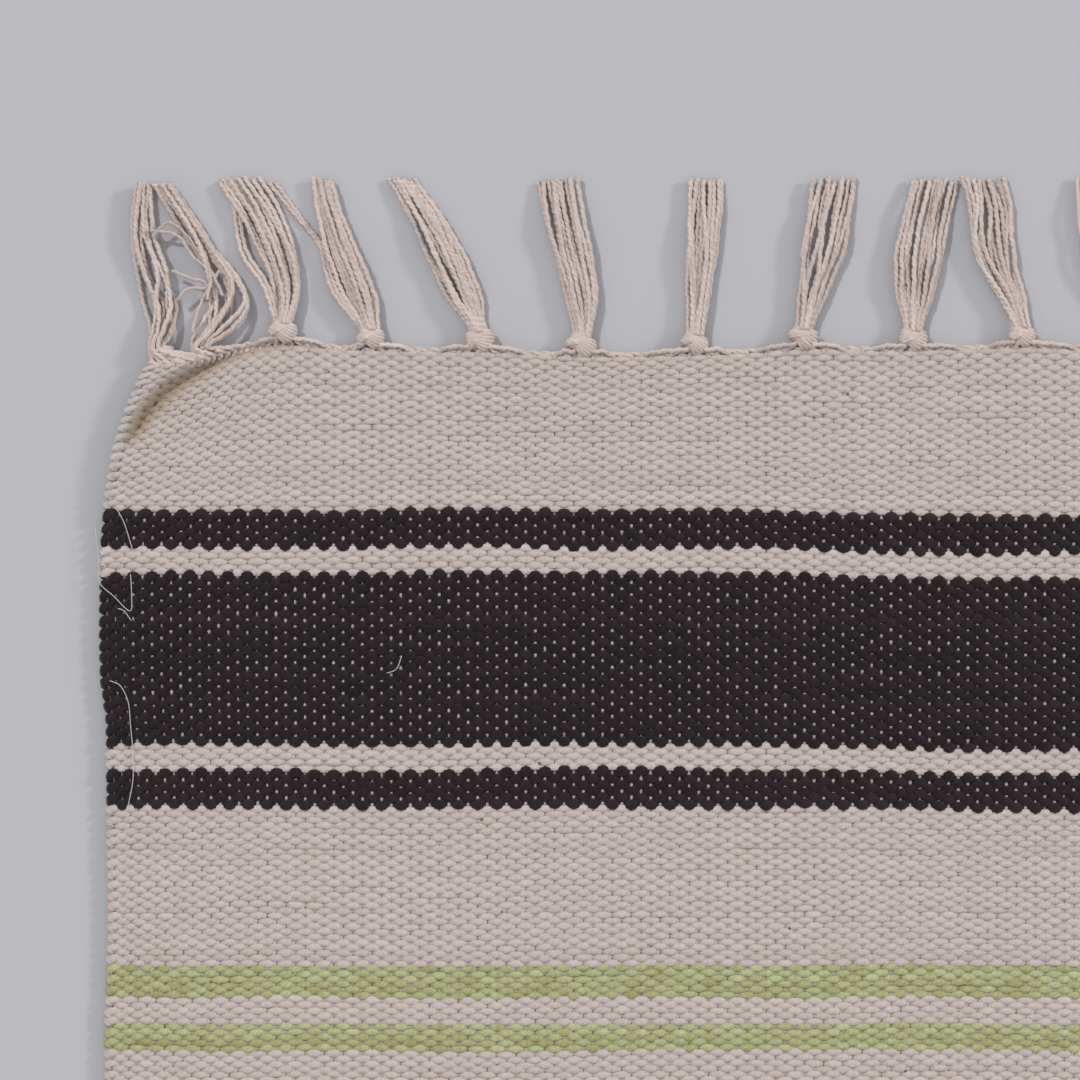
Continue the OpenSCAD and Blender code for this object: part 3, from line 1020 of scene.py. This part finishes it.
def make_end_cord(end, word):
    """Two strands twined round each other along the last pick."""
    tubes = TubeMesh()
    x = np.linspace(LEFT + 0.6, RIGHT - 0.6, 1500 if end > 0 else 500)
    turn = TURN * (x - LEFT) / (3 * WARP_PITCH)
    for half_turn in (0, math.pi):
        y = end * (FELL + 0.5 + 0.45 * np.cos(turn + half_turn))
        line = settle(np.stack([x, y, MID + 1.1 * np.sin(turn + half_turn)], -1))
        along = unit(np.gradient(line, axis=0))
        across = unit(np.cross(along, np.array([0.0, 0.0, 1.0])))
        size = np.full(len(line), CORD_R)
        points = ring_points(line, across, np.cross(across, along), size, size, oval(6))
        tubes.add(points[None], (x - LEFT)[None], np.zeros((1, len(x))))
    return add_piece(tubes, f"cord_{word}", f"end_cord_{word}")


fringe_pieces = []
for end, word in ((1, "head"), (-1, "foot")):
    fringe_pieces += make_fringe(end, word)
    fringe_pieces.append(make_end_cord(end, word))

# Fine loose threads caught on the cloth: across from the left edge, and below the last pick
LINT = (
    ((5, 42.5), (7.4, 47), (9.6, 54)),
    ((-0.6, 48), (0.3, 56), (0.6, 63), (4.6, 67), (9.0, 71), (9.4, 66), (9.1, 61)),
    ((5.6, 70.3), (7.4, 71), (9.3, 73.6)),
    ((3.4, 90), (6.4, 91.5), (8.5, 96), (9.1, 102), (9.7, 109), (9.8, 117), (8.4, 124.5)),
    ((79.1, 88), (81.8, 86.8), (83.2, 83.2)),
)


def add_lint():
    tubes = TubeMesh()
    for thread in LINT:
        z = [CLOTH_T + 0.2 + 0.1 * (k % 2) for k in range(len(thread))]
        stops = [(LEFT + a, FELL - b, height) for (a, b), height in zip(thread, z)]
        add_strand(tubes, stops, True, radius=LINT_R, plied=False)
    piece = tubes.make("loose_threads", [lint_cotton], settled=False)
    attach(piece, "root")


add_lint()

# ---------------------------------------------------------------- stage, light and camera

FLOOR = 6.0  # half the side of the floor, in metres
floor_mesh = bpy.data.meshes.new("floor")
floor_corners = [(-FLOOR, -FLOOR, 0), (FLOOR, -FLOOR, 0), (FLOOR, FLOOR, 0), (-FLOOR, FLOOR, 0)]
floor_mesh.from_pydata(floor_corners, [], [(0, 1, 2, 3)])
floor = bpy.data.objects.new("floor", floor_mesh)
floor.location.z = -0.0001  # just under the rug
bpy.context.scene.collection.objects.link(floor)
floor_material = bpy.data.materials.new("floor_paper")
floor_material.use_nodes = True
floor_shader = floor_material.node_tree.nodes["Principled BSDF"]
floor_shader.inputs["Base Color"].default_value = srgb(189, 188, 191)
floor_shader.inputs["Roughness"].default_value = 0.9
floor_mesh.materials.append(floor_material)


def sun(name, strength, azimuth, elevation, softness):
    """A distant lamp, with its angles in degrees. It stands on the side that the azimuth says:
    0 is +X, 90 is +Y."""
    lamp = bpy.data.lights.new(name, "SUN")
    lamp.energy, lamp.angle = strength, math.radians(softness)
    holder = bpy.data.objects.new(name, lamp)
    holder.rotation_euler = (0, math.radians(90 - elevation), math.radians(azimuth))
    bpy.context.scene.collection.objects.link(holder)


sun("key_left", 1.25, 135, 47, 4)
sun("fill_right", 1.0, 20, 26, 8)
world = bpy.data.worlds.new("studio")
bpy.context.scene.world = world
world.use_nodes = True
world.node_tree.nodes["Background"].inputs[0].default_value = (0.93, 0.95, 1.0, 1)
world.node_tree.nodes["Background"].inputs[1].default_value = 0.565
bpy.context.scene.view_settings.view_transform = "Standard"

camera_data = bpy.data.cameras.new("camera")
camera_data.lens, camera_data.sensor_width = 85, 36
camera_data.clip_start, camera_data.clip_end = 0.05, 20
camera = bpy.data.objects.new("camera", camera_data)
camera_height = VIEW_W * MM * camera_data.lens / camera_data.sensor_width
camera.location = (VIEW_X * MM, VIEW_Y * MM, camera_height)
bpy.context.scene.collection.objects.link(camera)
bpy.context.scene.camera = camera
